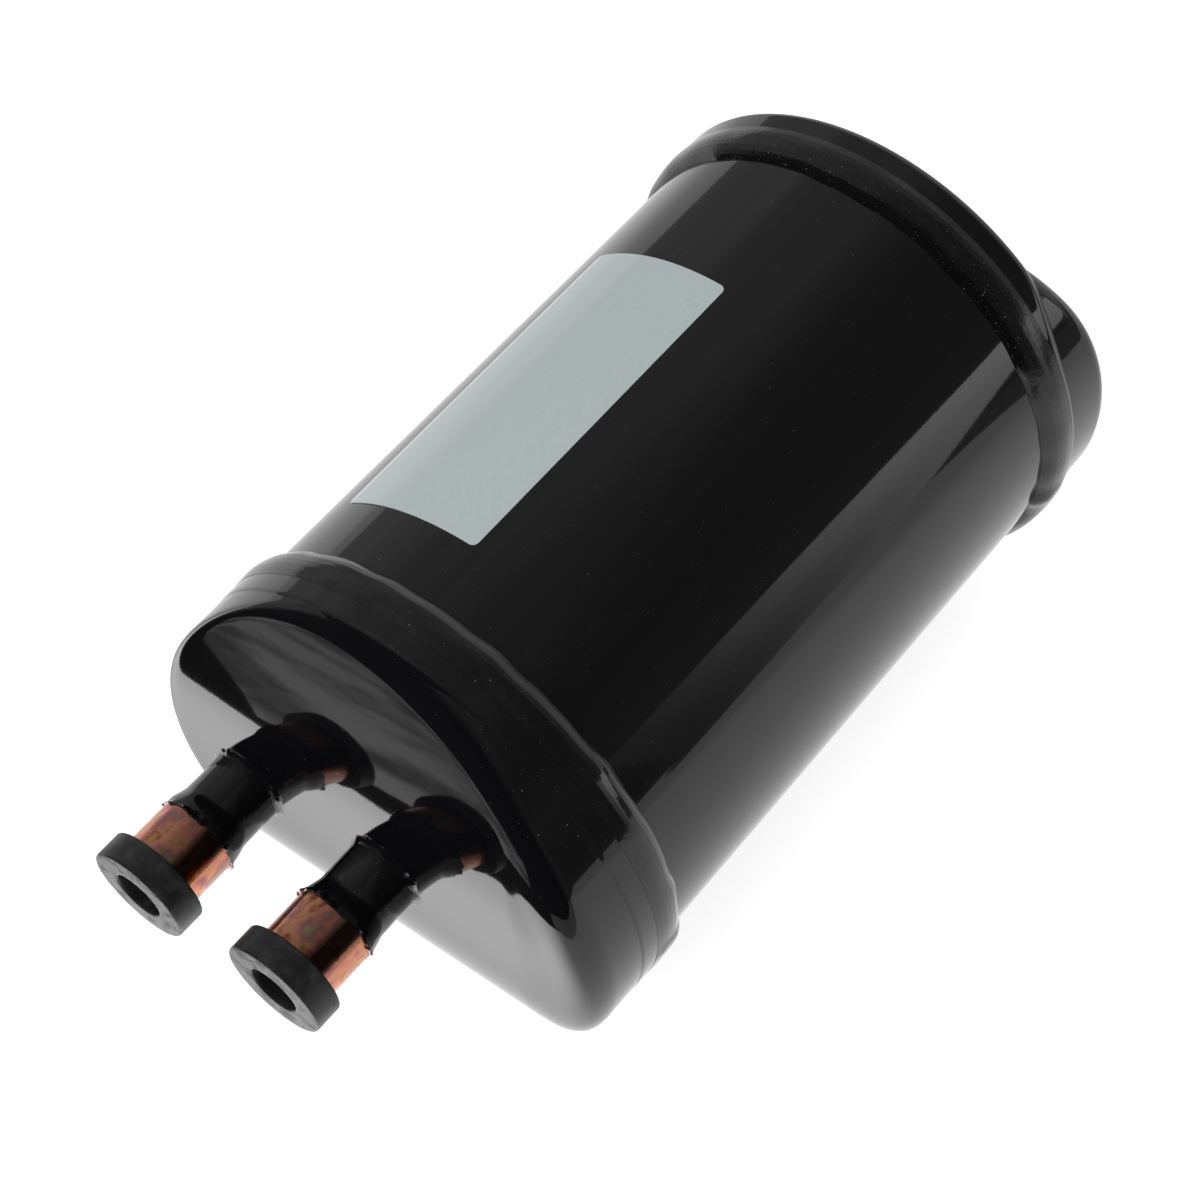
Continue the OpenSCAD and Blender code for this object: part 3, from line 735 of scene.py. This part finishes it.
def bare_metal(name, dark, light, smooth, rough, scale):
    """Bare metal with a fine grain that moves its colour and gloss a little."""
    material, nodes, links = new_material(name)
    shader = nodes["Principled BSDF"]
    shader.inputs["Metallic"].default_value = 1.0
    grain = placed_group(nodes, METAL_GRAIN_GROUP, Scale=scale).outputs["Grain"]
    links.new(blend(nodes, links, grain, dark, light), shader.inputs["Base Color"])
    links.new(ramp(nodes, links, grain, 0.3, 0.7, smooth, rough), shader.inputs["Roughness"])
    raise_surface(nodes, links, shader, grain, METAL_STRENGTH, METAL_RELIEF)
    return material


def dress_solid(node, material):
    """Gives one of the part's own solids its material."""
    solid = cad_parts[node]
    solid.data.materials.clear()
    solid.data.materials.append(material)


TURNED_BRASS = bare_metal("turned_brass", (0.62, 0.42, 0.16), (0.80, 0.60, 0.28), 0.22, 0.4, 1100)
FUSIBLE_ALLOY = bare_metal("cast_fusible_alloy", (0.42, 0.42, 0.40), (0.60, 0.60, 0.57), 0.4, 0.6, 700)
dress_solid("fuse_boss", TUBE_PAINT)
dress_solid("fuse_boss_weld", WELD_PAINT)
dress_solid("fuse_plug", TURNED_BRASS)
dress_solid("fuse_core", FUSIBLE_ALLOY)

# Inner tubes
# A bent copper pick-up tube hangs from the outlet, with a brass metering bush and screen at its
# lowest point, an elbow under the inlet and a steel bracket that ties it to the shell.
CLEAN_COPPER = bare_metal("clean_copper", (0.70, 0.32, 0.18), (0.88, 0.48, 0.30), 0.2, 0.36, 800)
PRESSED_STEEL = bare_metal("pressed_steel", (0.36, 0.36, 0.37), (0.55, 0.55, 0.56), 0.3, 0.5, 500)
dress_solid("u_tube", CLEAN_COPPER)
dress_solid("inlet_deflector", CLEAN_COPPER)
dress_solid("metering_orifice", TURNED_BRASS)
dress_solid("oil_screen", TURNED_BRASS)
dress_solid("tube_bracket", PRESSED_STEEL)

# Table
# The vessel lies with its weld beads on a white table that ends just past the connections. The
# table is upright in the vessel's frame and is seen from its upper side alone. In the gloss it glows
# with a painted pool of light at its lit end and painted shade towards its far end.
TABLE_FACING = Vector((-0.186, -0.983, 0)).normalized()
TABLE_ALONG = Vector((0, 0, 1)).cross(TABLE_FACING)
TABLE_AWAY = 67.0
TABLE_WIDE, TABLE_LOW = 4.0, -2.5
TABLE_END = [(TABLE_WIDE, 0.285), (0.112, 0.297), (0.045, 0.301), (0.013, 0.308), (-0.017, 0.316),
             (-0.06, 0.345), (-0.10, 0.365), (-TABLE_WIDE, 0.365)]
TABLE_WHITE, TABLE_TO_CAMERA = (0.82, 0.82, 0.82), 0.72
# Glow levels in the gloss: painted shade far off, even beside the vessel, and a painted pool of light at the
# lit end.
TABLE_FAR, TABLE_BESIDE, TABLE_LIT = 0.75, 1.0, 2.85
FAR_FROM, FAR_TO = -0.04, -0.22
LIT_FROM, LIT_TO = 0.222, 0.285
LIT_SIDE_FROM, LIT_SIDE_TO = -0.105, -0.03


def table_point(along, up, above=0.0):
    """A place in metres, given along the table, up the vessel's axis and off the table's top."""
    return TABLE_FACING * (above - TABLE_AWAY * MM) + TABLE_ALONG * along + Vector((0, 0, up))


def stage_sheet(name, corners, material):
    mesh = bpy.data.meshes.new(name)
    mesh.from_pydata([table_point(*corner) for corner in corners], [], [tuple(range(len(corners)))])
    mesh.materials.append(material)
    sheet = bpy.data.objects.new(name, mesh)
    bpy.context.scene.collection.objects.link(sheet)
    return sheet


def reach_along(nodes, links, place, direction):
    """How far a place lies along a direction."""
    node = nodes.new("ShaderNodeVectorMath")
    node.operation = "DOT_PRODUCT"
    node.inputs[1].default_value = direction
    links.new(place, node.inputs[0])
    return node.outputs["Value"]


def ray_is(nodes, links, *kinds):
    """1 for a ray of any of the kinds named, and 0 for the others."""
    path = nodes.new("ShaderNodeLightPath")
    answer = path.outputs[kinds[0]]
    for kind in kinds[1:]:
        answer = math_node(nodes, links, "MAXIMUM", answer, path.outputs[kind])
    return answer


def two_shaders(nodes, links, kind, first, second):
    node = nodes.new(kind)
    sockets = [socket for socket in node.inputs if socket.type == "SHADER"]
    links.new(first, sockets[0])
    links.new(second, sockets[1])
    return node


def white_table():
    """Matt white that holds the shadow and is white to the camera; in the gloss it glows instead, with a
    painted pool of light and painted shade.
    """
    material, nodes, links = new_material("white_table")
    nodes.remove(nodes["Principled BSDF"])
    matt = nodes.new("ShaderNodeBsdfDiffuse")
    matt.inputs["Color"].default_value = (*TABLE_WHITE, 1)
    white = nodes.new("ShaderNodeEmission")
    to_camera = math_node(nodes, links, "MULTIPLY", ray_is(nodes, links, "Is Camera Ray"), TABLE_TO_CAMERA)
    links.new(to_camera, white.inputs["Strength"])
    top = two_shaders(nodes, links, "ShaderNodeAddShader", matt.outputs["BSDF"], white.outputs["Emission"])
    place = object_place(nodes)
    up = axis_parts(nodes, links, place)["Z"]
    along = reach_along(nodes, links, place, TABLE_ALONG)
    # Painted shade: the gloss glow dims towards the table's far end.
    beside = ramp(nodes, links, up, FAR_TO, FAR_FROM, TABLE_FAR, TABLE_BESIDE)
    # Painted light: a pool of glow at the connections' end, on the lit side only.
    lit = ramp(nodes, links, up, LIT_FROM, LIT_TO, 0, TABLE_LIT - TABLE_BESIDE)
    lit_side = ramp(nodes, links, along, LIT_SIDE_FROM, LIT_SIDE_TO, 0, 1)
    lit = math_node(nodes, links, "MULTIPLY", lit, lit_side)
    glow = nodes.new("ShaderNodeEmission")
    links.new(math_node(nodes, links, "ADD", beside, lit), glow.inputs["Strength"])
    seen = two_shaders(nodes, links, "ShaderNodeMixShader", top.outputs["Shader"], glow.outputs["Emission"])
    links.new(ray_is(nodes, links, "Is Glossy Ray", "Is Transmission Ray"), seen.inputs["Fac"])
    clear = nodes.new("ShaderNodeBsdfTransparent")
    sided = two_shaders(nodes, links, "ShaderNodeMixShader", seen.outputs["Shader"], clear.outputs["BSDF"])
    links.new(nodes.new("ShaderNodeNewGeometry").outputs["Backfacing"], sided.inputs["Fac"])
    links.new(sided.outputs["Shader"], nodes["Material Output"].inputs["Surface"])
    return material


stage_sheet("white_table", [(-TABLE_WIDE, TABLE_LOW), (TABLE_WIDE, TABLE_LOW)] + TABLE_END, white_table())

# Cards, wall and room
# What stands round the table and shows in the gloss alone: a clouded grey card and a plain one past
# the table's end, a sheet of painted shadow on the table, a pale wall beside it and a dark room over it
# all. They are only surfaces that glow, and they neither light nor hide anything.
CARD_CORNERS = [(0.36, 0.51), (0.142, 0.345), (0.110, 0.320), (0.095, 0.306), (0.075, 0.313),
                (0.055, 0.320), (0.042, 0.326), (0.034, 0.338), (0.015, 0.352), (-0.02, 0.375),
                (-0.02, 0.50), (0.36, 0.62)]
CARD_CLOUD_SCALE, CARD_DARK, CARD_LIGHT = 22, 0.25, 0.85
END_CARD_CORNERS = [(-0.07, 0.36), (-4.0, 0.36), (-4.0, 1.2), (-0.9, 0.60), (-0.15, 0.44), (-0.08, 0.40)]
END_CARD_TONE = 0.4
# A sheet of painted shadow lying on the table past the vessel's far end, seen in the gloss alone.
SHADOW_SHEET_T, SHADOW_SHEET_TONE = 0.001, 0.17
SHADOW_SHEET_CORNERS = [(-0.46, -0.24, SHADOW_SHEET_T), (-0.46, -2.5, SHADOW_SHEET_T), (-4.0, -2.5, SHADOW_SHEET_T), (-4.0, -2.1, SHADOW_SHEET_T)]
WALL_AT = -1.5
WALL_OUTLINE = [(-1.7, 0.17), (-1.7, 0.56), (-0.95, 0.56), (-0.70, 0.66), (-0.42, 0.72), (-0.42, 0.0),
                (-0.80, 0.0), (-0.94, 0.17)]
WALL_FOOT, WALL_HEAD, WALL_FOOT_TONE, WALL_HEAD_TONE = 0.05, 0.50, 0.9, 1.25
WALL_DIM_FROM, WALL_DIM_TO, WALL_BRIGHT, WALL_DIM = -1.0, -0.42, 1.5, 0.15
ROOM_R, ROOM_MIDDLE = 4.6, (0, 0, 0.12)
ROOM_CLOUD_SCALE = 0.5


def gloss_only(piece):
    """Keeps a stage piece to reflections, so that it neither lights nor hides anything."""
    for kind in ("camera", "diffuse", "transmission", "volume_scatter", "shadow"):
        setattr(piece, f"visible_{kind}", False)


def glowing(name, strength=1.0):
    material, nodes, links = new_material(name)
    nodes.remove(nodes["Principled BSDF"])
    glow = nodes.new("ShaderNodeEmission")
    glow.inputs["Strength"].default_value = strength
    links.new(glow.outputs["Emission"], nodes["Material Output"].inputs["Surface"])
    return material, nodes, links, glow.inputs["Strength"]


def clouded_card():
    material, nodes, links, strength = glowing("grey_card")
    cloud = noise(nodes, links, object_place(nodes), CARD_CLOUD_SCALE, 3, 0.55)
    links.new(ramp(nodes, links, cloud, 0.36, 0.64, CARD_DARK, CARD_LIGHT), strength)
    return material


def pale_wall():
    """Paler towards its head, and dimmer towards the vessel."""
    material, nodes, links, strength = glowing("pale_wall")
    place = object_place(nodes)
    off_table = reach_along(nodes, links, place, TABLE_FACING)
    rise = ramp(nodes, links, off_table, WALL_FOOT, WALL_HEAD, WALL_FOOT_TONE, WALL_HEAD_TONE)
    up = axis_parts(nodes, links, place)["Z"]
    fade = ramp(nodes, links, up, WALL_DIM_FROM, WALL_DIM_TO, WALL_BRIGHT, WALL_DIM)
    links.new(math_node(nodes, links, "MULTIPLY", rise, fade), strength)
    return material


def dark_room():
    """Darker over the connections and to one side, a little cloudy, and paler far below."""
    material, nodes, links, strength = glowing("dark_room")
    place = object_place(nodes)
    parts = axis_parts(nodes, links, place)
    high = ramp(nodes, links, parts["Z"], 0.05 * ROOM_R, 0.45 * ROOM_R, 1.0, 0.08)
    side = ramp(nodes, links, parts["X"], -0.75 * ROOM_R, 0.75 * ROOM_R, 0.10, 0.36)
    cloud = ramp(nodes, links, noise(nodes, links, place, ROOM_CLOUD_SCALE, 2), 0.35, 0.65, 0.8, 1.2)
    level = math_node(nodes, links, "MULTIPLY", side, cloud)
    level = math_node(nodes, links, "MULTIPLY", level, high)
    below = ramp(nodes, links, parts["Z"], -0.9 * ROOM_R, -0.6 * ROOM_R, 0.5, 0)
    links.new(math_node(nodes, links, "ADD", level, below), strength)
    return material


gloss_only(stage_sheet("grey_card", CARD_CORNERS, clouded_card()))
gloss_only(stage_sheet("end_card", END_CARD_CORNERS, glowing("end_card", END_CARD_TONE)[0]))
# The painted shadow on the table, a dark sheet that shows in reflections.
gloss_only(stage_sheet("painted_shadow_sheet", SHADOW_SHEET_CORNERS, glowing("painted_shadow_sheet", SHADOW_SHEET_TONE)[0]))
wall_corners = [(WALL_AT, up, above) for up, above in WALL_OUTLINE]
gloss_only(stage_sheet("pale_wall", wall_corners, pale_wall()))
bpy.ops.mesh.primitive_uv_sphere_add(segments=48, ring_count=24, radius=ROOM_R, location=ROOM_MIDDLE)
room = bpy.context.object
room.name = "dark_room"
room.data.materials.append(dark_room())
gloss_only(room)

# Light and camera
# A white world and one soft lamp light the vessel at a plain level, and the world is white to the
# camera. The camera stands where the photograph was taken from.
WORLD_LIGHT, WORLD_SEEN = 0.6, 1.0
KEY_WIDE, KEY_WATTS = 1.2, 12
KEY_FROM, KEY_TO = Vector((0.1, -1.05, 1.05)), Vector((0, 0, 0.12))
SENSOR_WIDE, LENS = 36, 77.93
CAMERA_AT = Vector((-0.3053, -0.4952, 0.4006))
CAMERA_RIGHT = Vector((-0.76791, 0.14526, -0.62387))
CAMERA_UP = Vector((0.42354, -0.61552, -0.66464))
CAMERA_BACK = Vector((-0.48055, -0.77462, 0.41114))

world = bpy.data.worlds.new("studio")
bpy.context.scene.world = world
world.use_nodes = True
world_nodes, world_links = world.node_tree.nodes, world.node_tree.links
background = world_nodes["Background"]
background.inputs["Color"].default_value = (1, 1, 1, 1)
world_seen = ray_is(world_nodes, world_links, "Is Camera Ray", "Is Glossy Ray", "Is Transmission Ray")
world_level = ramp(world_nodes, world_links, world_seen, 0, 1, WORLD_LIGHT, WORLD_SEEN)
world_links.new(world_level, background.inputs["Strength"])

key = bpy.data.lights.new("soft_key", "AREA")
key.shape = "DISK"
key.size = KEY_WIDE
key.energy = KEY_WATTS
key_lamp = bpy.data.objects.new("soft_key", key)
key_lamp.location = KEY_FROM
key_lamp.rotation_mode = "QUATERNION"
key_lamp.rotation_quaternion = (KEY_TO - KEY_FROM).to_track_quat("-Z", "Y")
key_lamp.visible_glossy = False
bpy.context.scene.collection.objects.link(key_lamp)

camera_data = bpy.data.cameras.new("photo_camera")
camera_data.sensor_width = SENSOR_WIDE
camera_data.lens = LENS
camera = bpy.data.objects.new("photo_camera", camera_data)
camera_turn = Matrix((CAMERA_RIGHT, CAMERA_UP, CAMERA_BACK)).transposed().to_4x4()
camera.matrix_world = Matrix.Translation(CAMERA_AT) @ camera_turn
bpy.context.scene.collection.objects.link(camera)
bpy.context.scene.camera = camera
bpy.context.scene.view_settings.view_transform = "Standard"
